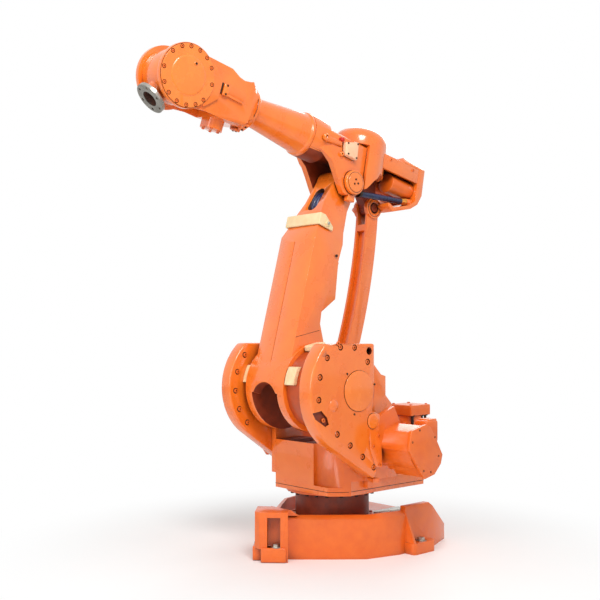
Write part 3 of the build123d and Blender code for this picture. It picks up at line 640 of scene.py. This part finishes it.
def round_line(name, kind, lines, radius, roundness):
    """A curve of round section with one spline for each line of points."""
    data = bpy.data.curves.new(name, "CURVE")
    data.dimensions = "3D"
    data.bevel_depth = radius * MM
    data.bevel_resolution = roundness
    for points in lines:
        spline = data.splines.new(kind)
        spline.points.add(len(points) - 1)
        for place, point in zip(spline.points, points):
            place.co = (*(point * MM), 1.0)
    return data


def seam(name, body, lines, radius, material, closed=False):
    """Thin round beads along lines of points, as split lines, gaskets and grooves show."""
    data = round_line(name, "POLY", lines, radius, 1)
    for spline in data.splines:
        spline.use_cyclic_u = closed
    line = add_object(name, data)
    mesh = evaluated_mesh(line)
    bpy.data.objects.remove(line)
    smooth(mesh)
    new_piece(name, mesh, body, material)


def groove(name, body, centre, first, second, radius, width, material=gap_shade_and_grime):
    """A seam all round a circle."""
    seam(name, body, [circle(centre, first, second, radius)], width, material, closed=True)


def hose(name, node, body, points, radius):
    """A hose on one smooth line; it stands for its plain solid."""
    data = round_line(name, "NURBS", [points], radius, 6)
    data.resolution_u = 12
    data.use_fill_caps = True
    data.splines[0].order_u = 3
    data.splines[0].use_endpoint_u = True
    piece = add_object(name, data)
    data.materials.append(hose_rubber)
    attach(piece, body)
    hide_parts(node)
    return piece


make_camera()

# The hose and the two cables, as the part has them
hose_from = upper_point(-60, HOSE_SIDE, -26.3)
hose_to = upper_point(-358, HOSE_SIDE, 23.4)
hose_line = [hose_from, hose_from.lerp(hose_to, 0.3), hose_from.lerp(hose_to, 0.7), hose_to]
tail_line = hose("tail_hose_line", "tail_hose", "upper_arm", hose_line, HOSE_RADIUS)
# The slope under the elbow, and the middle of the window in it
slope_low, slope_high = arm_point(121, 0, ARM_LENGTH - 169), arm_point(62, 0, ARM_LENGTH)
slope_way = (slope_high - slope_low).normalized()
slope_out = side.cross(slope_way).normalized()
window_middle = slope_low + slope_way * 74
cable_middle = window_middle - slope_out * (WINDOW_DEPTH - CABLE_RADIUS - CLEARANCE)
CABLE_BOW = ((-50, -8), (-42, 12), (-14, 24), (14, 24), (42, 12), (50, -8))
half_spread = CABLE_RADIUS + 0.4
for s, name in SIDES:
    cable_line = [cable_middle + side * (s * half_spread) + slope_way * along + slope_out * bow
                  for along, bow in CABLE_BOW]
    hose(name + "_arm_cable_line", "arm_cable", "lower_arm", cable_line, CABLE_RADIUS)

make_lights()
make_world()
make_floor()

# CAD nodes and their finishes
for piece in frame["nodes"].values():
    piece.data.materials.clear()
    piece.data.materials.append(cover_enamel)
for material, nodes in (
    (shaded_worn_enamel, ("turntable_flange",)),
    (shade_and_oil_enamel, ("axis_1_ring",)),
    (shaded_gear_case_enamel, ("left_gear_unit", "right_gear_unit")),
    (turned_steel, ("tool_flange", "elbow_pin", "lever_arm")),
    (hose_rubber, ("arm_cable", "tail_hose")),
):
    for node in nodes:
        frame["nodes"][node].data.materials[0] = material

# Where the screws are: five on an arc in front of each gear housing, seven spread over its plate
HOUSING_ARC = (60, 38, 16, -7, -29)
HOUSING_SPREAD = ((114, -158), (45, -205), (-22, -254), (-84, -300), (21, 166), (96, 168), (-51, 110))
WRIST_COVER_RING = (34, 58, 79, 101, 122, 144, 177, -145, -124, -102, -79, -55, -33, -3)


def housing_places(y, outward, arc_radius, scale):
    """The places of one gear housing's screws."""
    way = side * outward
    return (ring_places(body_point(0, y, 0), X_WAY, Z_WAY, way, arc_radius, HOUSING_ARC)
            + [(body_point(scale * x, y, scale * z), way) for x, z in HOUSING_SPREAD])


left_housing_places = housing_places(LEFT_PLATE, 1, 210, 1.0)
right_housing_places = housing_places(RIGHT_PLATE, -1, 198, 0.95)
inner_rim_places = ring_places(body_point(0, RIGHT_PLATE_INNER, 0), X_WAY, Z_WAY, side, 205,
                               (40, 18, -4, -26, -46))
near_cover_places, far_cover_places = (
    ring_places(wrist_point(0, s * WRIST_COVER_FACE, 0), reach, bend_rise, bend_axis * s, 106,
                WRIST_COVER_RING) for s in (1, -1))


# What is cut into the castings

def housing_cutter(places, y, outward, scale):
    """Screw pockets, the deep hole at the top, and the slanted recess that runs out of the rim."""
    hole_radius, hole_depth, recess_depth = 15.0, 30.0, 9.0
    recess = ((238, -72), (196, -66), (168, -92), (158, -118), (176, -126), (226, -96))
    shape = bmesh.new()
    for point, direction in places:
        drill(shape, point, direction, HOUSING_POCKET_RADIUS, HOUSING_POCKET)
    drill(shape, body_point(-59 * scale, y, 152), side * outward, hole_radius, hole_depth)
    sink(shape, [body_point(x * scale, y, z * scale) for x, z in recess], side * outward, recess_depth)
    return shape


def cover_cutter(places):
    """Screw pockets of a wrist cover."""
    shape = bmesh.new()
    for point, direction in places:
        drill(shape, point, direction, COVER_POCKET_RADIUS, COVER_POCKET)
    return shape


def window_cutter():
    """The window in the slope under the elbow, opened to its full width, with painted shade on its inner
    walls.
    """
    half_straight, end_radius = 32, 28
    shape = bmesh.new()
    corners = []
    for angle in range(0, 360, 15):
        end = window_middle + slope_way * (half_straight if angle <= 180 else -half_straight)
        corners.append(around(end, side, slope_way, end_radius, angle))
    sink(shape, corners, slope_out, WINDOW_DEPTH - CLEARANCE)
    return shape


def neck_cutter():
    """What is turned off the neck's corners beside the ring flange."""
    # Each as (place along the forearm, radius)
    outline = ((540, 90), (560, 90), (590, 124), (590, 160), (540, 160))
    shape = bmesh.new()
    loop(shape, [add_vertices(shape, circle(root + reach * u, side, rise, radius, 64))
                 for u, radius in outline])
    return shape


def turntable_cutter():
    """Turns the front corner round, and sets the wall beside the front block back."""
    outside_radius, below, above, steps = 420, 250, 460, 24
    wall, above_wall = ((190, 116), (330, 116), (330, 420), (120, 420), (150, 262), (190, 205)), 470
    angles = [CORNER_START + (CORNER_END - CORNER_START) * i / steps for i in range(steps + 1)]
    sector = [(CORNER_RADIUS, angle) for angle in angles]
    sector += [(outside_radius, angle) for angle in reversed(angles)]
    shape = bmesh.new()
    bottom, top = (add_vertices(shape, [around(Z_WAY * z, X_WAY, side, *corner) for corner in sector])
                   for z in (below, above))
    walls(shape, bottom, top)
    # Strips rather than one concave face at each end
    for i in range(steps):
        shape.faces.new((bottom[i], bottom[-1 - i], bottom[-2 - i], bottom[i + 1]))
        shape.faces.new((top[i], top[i + 1], top[-2 - i], top[-1 - i]))
    sink(shape, [Vector((x, y, above_wall)) for x, y in wall], Z_WAY, above_wall - STEP_LEVEL)
    return shape


def foot_cutter():
    """Takes the narrow ends of the front feet off, which wider feet then cover."""
    near, far, half_width, below, above = 0.4, 80, 34, -5, 80
    shape = bmesh.new()
    for s in (1, -1):
        out = Vector((FOOT_OUT.x, s * FOOT_OUT.y, 0))
        along = Z_WAY.cross(out)
        middle = Vector((FOOT_MIDDLE.x, s * FOOT_MIDDLE.y, 0))
        outline = ((near, -half_width), (far, -half_width), (far, half_width), (near, half_width))
        prism(shape, [middle + out * u + along * v for u, v in outline], Z_WAY, below, above)
    return shape


# Which faces of a casting are inside, where painted shade and old oil darken them

def in_arm_fork(place, normal):
    """Between the fork's cheeks near axis 2, but not facing out of its rim."""
    outward = Vector((place.x - AXIS_2.x, 0, place.z - AXIS_2.z))
    return abs(place.y) < 78.8 and outward.length < 200 and normal.dot(outward.normalized()) < 0.35


def in_turntable(place, normal):
    """Floor and side walls of the room between the gear housings."""
    between = abs(place.y) < 150 and -150 < place.x < 212 and place.z > 330
    return between and normal.x < 0.5 and (normal.z > 0.3 or place.y * normal.y < -0.3)


def in_elbow(place, normal):
    """Between the ears of the upper arm's housing."""
    from_elbow = place - elbow
    return abs(place.y) < 70.8 and from_elbow.dot(rise) < 97 and from_elbow.dot(reach) < 200


def in_tail(place, normal):
    """Inside the open tail beam."""
    from_elbow = place - elbow
    return abs(place.y) < 98.6 and from_elbow.dot(rise) < 170 and from_elbow.dot(reach) > -388


# Castings with their rounded edges; the widths are in millimetres
soft_edges("base_casting", 5.0, shaded_worn_enamel, cutter=foot_cutter(), cut_finish=shaded_worn_enamel)
# The cut recess and round front corner get the darker enamel, as painted shade
soft_edges("turntable_frame", 5.0, casting_enamel, cut_finish=shaded_worn_enamel, inside=in_turntable,
           cutter=turntable_cutter())
soft_edges("lower_arm_casting", 6.0, casting_enamel, cutter=window_cutter(), inside=in_arm_fork)
soft_edges("upper_arm_housing", 6.0, casting_enamel, inside=in_elbow)
soft_edges("drum_housing", 4.0, casting_enamel)
soft_edges("rear_beam", 5.0, casting_enamel, inside=in_tail)
soft_edges("wrist_housing", 7.0, casting_enamel, cutter=neck_cutter(), cut_finish=casting_enamel)
# The walls of the screw pockets, the deep hole and the recess get the dark enamel as painted shade
soft_edges("left_gear_housing", 8.0, casting_enamel, cut_finish=shade_and_oil_enamel,
           cutter=housing_cutter(left_housing_places, LEFT_PLATE, 1, 1.0))
soft_edges("right_gear_housing", 8.0, casting_enamel, cut_finish=shade_and_oil_enamel,
           cutter=housing_cutter(right_housing_places, RIGHT_PLATE, -1, 0.95))
soft_edges("left_wrist_cover", 1.5, cover_enamel, cutter=cover_cutter(near_cover_places))
soft_edges("right_wrist_cover", 1.5, cover_enamel, cutter=cover_cutter(far_cover_places))
for material, widths in (
    (casting_enamel, {"left_side_frame": 5.0, "right_side_frame": 4.0, "parallel_rod": 3.0,
                      "rear_end_plate": 12.0, "tilt_head": 4.0, "forearm_tube": 3.0}),
    (shaded_worn_enamel, {"left_motor": 4.0, "right_motor": 4.0, "left_motor_cap": 3.0, "right_motor_cap": 3.0,
                   "axis_1_motor": 3.0, "axis_1_motor_plate": 5.0, "left_arm_motor": 3.0,
                   "right_arm_motor": 3.0}),
    (cover_enamel, {"left_pivot_cap": 5.0, "right_pivot_cap": 5.0, "left_round_cover": 1.5,
                    "right_round_cover": 1.5}),
    (bumper_cream, {"arm_guard": 3.0, "left_stop_block": 3.0, "right_stop_block": 3.0}),
    (box_coat, {"junction_box_cover": 4.0}),
):
    for node, width in widths.items():
        soft_edges(node, width, material)

cap_screw = screw_head(8.2, 6.0, 4.6)
small_screw = screw_head(6.0, 4.0, 3.2)
tiny_screw = screw_head(4.2, 2.6, 2.2, 14)
floor_bolt = hexagon_head(15.0, 14.0)
band_bolt = hexagon_head(8.5, 9.0)

# Turntable: screws
heads("turntable_cap_screws", "turntable", cap_screw,
      sunk(left_housing_places + right_housing_places, HOUSING_POCKET) + inner_rim_places, shaded_worn_enamel)
# Dark rings painted as the shade in the rim screws' pockets
heads("turntable_rim_pockets", "turntable", pocket_ring(8.4, 12.0, 1.2), inner_rim_places, gap_shade_and_grime)
MOTOR_FACES = (("left", 500.4, 1), ("right", -454.4, -1))
MOTOR_SCREWS = ((16, 528), (58, 485), (-74, 495), (-96, 420), (-48, 362), (-6, 370))
cover_places = [place for _, y, outward, _ in HOUSINGS for place in
                ring_places(body_point(0, y, 0), X_WAY, Z_WAY, side * outward, 91, (47, -75, 166))]
motor_places = [(Vector((x, y, z)), side * outward) for _, y, outward in MOTOR_FACES for x, z in MOTOR_SCREWS]
plate_places = [(AXIS_1_MOTOR + Vector((x, y, 590.6)), Z_WAY) for x in (-50, 50) for y in (-50, 50)]
heads("turntable_small_screws", "turntable", tiny_screw, cover_places + motor_places, gap_shade_and_grime)
heads("turntable_plate_screws", "turntable", small_screw, plate_places, shaded_worn_enamel)
band_angles = (11, 25, 39, 58, 79, 96, 112, 130, 150, 170, 190, 210, 230, 250, 270, 290, 308, 326, 340, 354)
heads("turntable_band_bolts", "turntable", band_bolt,
      ring_places(Z_WAY * 242.6, X_WAY, side, -Z_WAY, 181, band_angles), gap_shade_and_grime)

# Turntable: split line, grooves, covers, pads and plates
corner_arc = [around(Vector(), X_WAY, side, CORNER_RADIUS, angle).xy for angle in range(43, 60, 2)]
split_corners = ((215, -118), (215, 194), *corner_arc, (140, 250), (-302, 250), (-361, 200), (-361, -118),
                 (-220, -190), (100, -190))
seam("turntable_split_line", "turntable", [[Vector((x, y, SPLIT_LEVEL)) for x, y in split_corners]], 1.1,
     gap_shade_and_grime, closed=True)
for name, y, outward, scale in HOUSINGS:
    way = side * outward
    small_cover = body_point(-79 * scale, y, -120 * scale)
    groove(name + "_cover_groove", "turntable", body_point(0, y + 0.2 * outward, 0), X_WAY, Z_WAY, 78.8, 1.0)
    spun(name + "_small_cover", "turntable", small_cover, way,
         [(30, 0), (30, 3.0), (28, 4.5), (20, 4.8), (0, 4.8)], cover_enamel)
    spun(name + "_housing_pad", "turntable", body_point(132 * scale, y - 1.5 * outward, -50 * scale), way,
         [(24, 0), (22, 3), (16, 6), (8, 7.5), (0, 8)], casting_enamel)
    groove(name + "_small_cover_groove", "turntable", small_cover + way * 0.2, X_WAY, Z_WAY, 31, 0.9)
# Plates that carry the small round covers, behind the housings' slanted rear edges
MOUNT_OUTLINE = ((-50, -95), (-60, -151), (-66, -235), (-96, -300), (-135, -309), (-132, -200), (-125, -100),
                 (-88, -84))
for name, y, outward, scale in HOUSINGS:
    slab(name + "_mount_plate", "turntable",
         [body_point(x * scale, y - 34 * outward, z * scale) for x, z in MOUNT_OUTLINE],
         side * outward, 33.4, 5.0, casting_enamel)
heads("mount_plate_screws", "turntable", small_screw,
      [(body_point(x * scale, y - 0.6 * outward, z * scale), side * outward)
       for _, y, outward, scale in HOUSINGS for x, z in ((-82, -218), (-116, -292), (-112, -178))],
      shaded_worn_enamel)

# Turntable: motors and stops
for name, y, outward in MOTOR_FACES:
    spun(name + "_motor_plug", "turntable", Vector((40, y - 2 * outward, 510)), side * outward,
         [(9, 0), (9, 2), (7.5, 3.5), (4, 3.8), (0, 3.8)], brass_plug)
for name, y in (("left", 433), ("right", -388)):
    block(name + "_motor_terminal_box", "turntable", Vector((-104, y, 512)), X_WAY, side, (70, 68, 86), 9.0,
          shaded_worn_enamel)
    block(name + "_motor_terminal_lid", "turntable", Vector((-112, y, 556)), X_WAY, side, (48, 56, 10), 3.0,
          casting_enamel)
for i, (x, y) in enumerate(((-344, 205), (-368, 205), (-284, 205), (-284, 96), (-376, 96))):
    spun(f"axis_1_motor_post_{i}", "turntable", Vector((x, y, 470)), Z_WAY,
         [(6, 0), (6, 72), (11, 72), (11, 76), (0, 76)], black_steel, sides=20)
seam("axis_1_motor_ribs", "turntable",
     [circle(AXIS_1_MOTOR + Z_WAY * z, X_WAY, side, 58.4, steps=48) for z in range(352, 497, 24)],
     2.2, shaded_worn_enamel, closed=True)
STOP_ANGLE = 78
for name, y, radius, width in (("top_stop_block", 148, 171, 50), ("far_top_stop_block", -135, 161, 24)):
    block(name, "turntable", body_point(0, y, 0) + turned(STOP_ANGLE) * radius, turned(STOP_ANGLE + 90), side,
          (74, width, 24), 5.0, bumper_cream)

# Base
foot_places = [(Vector((x, s * y, z)), Z_WAY)
               for x, y, z in ((356, 52, 58), (-200, 322, 45)) for s in (1, -1)]
heads("base_foot_bolts", "base", floor_bolt, foot_places, turned_steel)
for s, name in SIDES:
    out = Vector((FOOT_OUT.x, s * FOOT_OUT.y, 0))
    block(name + "_front_foot", "base", Vector((FOOT_MIDDLE.x, s * FOOT_MIDDLE.y, 29.05)) - out * 12,
          Z_WAY.cross(out), out, (100, 44, 57.9), 5.0, shaded_worn_enamel)
heads("base_ring_screws", "base", small_screw,
      ring_places(Z_WAY * 140.3, X_WAY, side, Z_WAY, 166, range(0, 360, 18)), shaded_worn_enamel)
for name, y in (("base_deck_bar", 110), ("base_deck_bar_right", -110)):
    block(name, "base", Vector((-230, y, 128)), X_WAY, side, (180, 44, 20), 4.0, turned_steel)

# Lower arm
for s, name in SIDES:
    spun(name + "_guard_boss", "lower_arm", arm_point(99, s * 105.2, 671), side * s,
         [(13, 0), (13, 3), (11, 4.5), (0, 4.5)], bumper_cream)
heads("guard_screws", "lower_arm", small_screw,
      [(arm_point(99, s * 109.6, 671), side * s) for s in (1, -1)], turned_steel)
heads("arm_side_screws", "lower_arm", small_screw,
      [(arm_point(20, s * (LOWER_ARM_SIDE + 0.1), 556), side * s) for s in (1, -1)], gap_shade_and_grime)
seam("arm_side_lines", "lower_arm",
     [[arm_point(forwards, s * LOWER_ARM_SIDE, along) for forwards, along in ((154, 172), (34, 232))]
      for s in (1, -1)], 0.9, gap_shade_and_grime)

# Rod
rod_top_centre = arm_point(-209.7, 0, 858.7)
for s, name in SIDES:
    for k, (radius, width, material) in enumerate(
            ((38, 1.2, gap_shade_and_grime), (31, 1.8, casting_enamel), (24, 1.2, gap_shade_and_grime))):
        groove(f"{name}_rod_ring_{k}", "rod", rod_top_centre + side * (42.2 * s), X_WAY, Z_WAY, radius, width,
               material)

# Upper arm
for s, name in SIDES:
    way = side * s
    face = upper_point(0, s * PIVOT_CAP_FACE, 0)
    spun(name + "_pivot_disc", "upper_arm", face, way, [(42, 0), (42, 1.6), (40, 3), (0, 3)], cover_enamel)
    groove(name + "_pivot_groove", "upper_arm", face + way * 0.2, reach, rise, 43.4, 0.9)
    groove(name + "_ear_groove", "upper_arm", upper_point(0, s * UPPER_ARM_SIDE, 0), reach, rise, 52.6, 1.1)
    # Stop lug under the ear
    block(name + "_ear_stop", "upper_arm", upper_point(-7, s * 85, -62), reach, way, (40, 27, 36), 3.5,
          cover_enamel)
    # Lifting bar on the side wall
    block(name + "_lifting_bar", "upper_arm", upper_point(140, s * 100, 138), reach * 0.97 - rise * 0.05, way,
          (92, 18, 24), 7.0, casting_enamel)
    spun(name + "_lifting_eye", "upper_arm", upper_point(188, s * 98, 140), way,
         [(15, 0), (15, 10), (12, 13), (6.5, 13), (6.5, 4), (0, 4)], cover_enamel, sides=40)
    spun(name + "_cover_boss", "upper_arm", upper_point(90, s * 98, 98), way,
         [(10, 0), (10, 11), (8, 13), (4, 13), (4, 6), (0, 6)], cover_enamel, sides=32)
pivot_places = [place for s in (1, -1) for place in
                ring_places(upper_point(0, s * (PIVOT_CAP_FACE + 3), 0), reach, rise, side * s, 12,
                            (70, 190, 310))]
box_places = [(upper_point(u, 122.5, v), side) for u, v in ((21, 162), (77, 148), (69, 104), (19, 101))]
heads("upper_arm_tiny_screws", "upper_arm", tiny_screw, pivot_places + box_places, gap_shade_and_grime)
spun("red_plug", "upper_arm", upper_point(100, 98, 158), side, [(11, 0), (11, 9), (8, 16), (4, 18), (0, 18)],
     red_plastic, sides=32)
seam("box_gasket", "upper_arm",
     [[upper_point(u, 99.2, v) for u, v in ((11, 94), (77, 97), (88, 150), (14, 172))]],
     1.5, gap_shade_and_grime, closed=True)
top_places = [(upper_point(u, y, 186.2), rise) for u in (150, 210) for y in (-60, 60)]
beam_places = [(upper_point(u, s * 112.2, 168), side * s) for s in (1, -1) for u in (-350, -200)]
end_plate_places = [(upper_point(-427.2, y, v), -reach) for y in (-92, 92) for v in (92, 168)]
heads("upper_arm_small_screws", "upper_arm", small_screw, top_places + beam_places + end_plate_places,
      shaded_worn_enamel)
seam("drum_split_lines", "upper_arm",
     [[upper_point(-61, s * (UPPER_ARM_SIDE + 0.1), v) for v in (-8, 172)] for s in (1, -1)], 1.2, gap_shade_and_grime)
hose_way = (hose_to - hose_from).normalized()
spun("hose_fitting", "upper_arm", hose_to - hose_way * 30, hose_way,
     [(13.2, 0), (15.5, 1), (15.5, 16), (18, 17), (18, 29), (13, 30), (0, 30)], brass_plug, sides=6)
spun("hose_collar", "upper_arm", hose_from, hose_way, [(17, 0), (17, 12), (15, 16), (12.5, 16)], black_steel,
     sides=40)

# Forearm and wrist
for s, name in ((1, "near"), (-1, "far")):
    way = bend_axis * s
    spun(name + "_cover_disc", "forearm", wrist_point(0, s * (WRIST_COVER_FACE - 0.3), 0), way,
         [(74, 0), (72, 1.6), (66, 2.4), (0, 2.4)], cover_enamel, sides=96)
    spun(name + "_cover_plug", "forearm", wrist_point(-16, s * (WRIST_COVER_FACE + 2), 52), way,
         [(8, 0), (8, 1.5), (6.5, 2.6), (0, 2.6)], cover_enamel, sides=32)
    groove(name + "_cover_groove", "forearm", wrist_point(0, s * (WRIST_COVER_FACE - 4), 0), reach, bend_rise,
           115.6, 1.0)
    block(name + "_side_bracket", "forearm", wrist_point(-175, s * 82, 12), reach, bend_rise, (26, 46, 16),
          4.0, cover_enamel)
    # A thin dark plate painted as the shade in the slot beside the bracket
    block(name + "_side_gap", "forearm", wrist_point(-155.5, s * 79.6, 14), reach, bend_rise, (13, 42, 2.4),
          1.0, gap_shade_and_grime)
    block(name + "_side_ridge", "forearm", wrist_point(-225, s * 80, -6), reach * 0.995 + bend_rise * 0.05,
          bend_rise, (78, 9, 10), 3.0, casting_enamel)
heads("wrist_cover_screws", "forearm", small_screw, sunk(near_cover_places + far_cover_places, COVER_POCKET),
      shaded_worn_enamel)
bracket_places = [(wrist_point(-174, s * (WRIST_COVER_FACE - 0.5), y), bend_axis * s)
                  for s in (1, -1) for y in (29, -5)]
plug_places = [(wrist_point(-16, s * (WRIST_COVER_FACE + 4.6), 52), bend_axis * s) for s in (1, -1)]
heads("wrist_tiny_screws", "forearm", tiny_screw, bracket_places + plug_places, gap_shade_and_grime)
heads("neck_boss_screws", "forearm", small_screw,
      ring_places(wrist_point(-207, 0, -131.2), reach, bend_axis, -bend_rise, 34, range(0, 360, 60)),
      shaded_worn_enamel)
heads("ring_flange_bolts", "forearm", small_screw,
      [(tube_point(531, angle, 71), -reach) for angle in (28, 62, 118, 152, 208, 242, 298, 332)], shaded_worn_enamel)
for k, angle in enumerate((72, 108, 252, 288)):
    outward = around(Vector(), side, rise, 1, angle)
    across = reach.cross(outward)
    block(f"ring_flange_lug_{k}", "forearm", tube_point(556, angle, 90), reach, across, (26, 42, 14), 4.0,
          casting_enamel)
    heads(f"ring_flange_lug_screws_{k}", "forearm", tiny_screw,
          [(tube_point(556, angle, 97.1) + across * d, outward) for d in (-11, 11)], gap_shade_and_grime)
groove("ring_flange_split", "forearm", root + reach * 545.2, side, rise, 84.2, 1.1)

# Tilting head and tool flange
# A dark liner painted as the shade inside the tool flange's bore
spun("tool_bore_liner", "tilt", wrist + tool * (FLANGE_DISTANCE - 64), tool,
     [(27.3, 0), (27.3, 44.5), (31.2, 45.6), (31.2, 60), (29, 60), (24, 40), (24, 4), (0, 4)], gap_shade_and_grime,
     sides=48)

bpy.context.scene.view_settings.view_transform = "Standard"
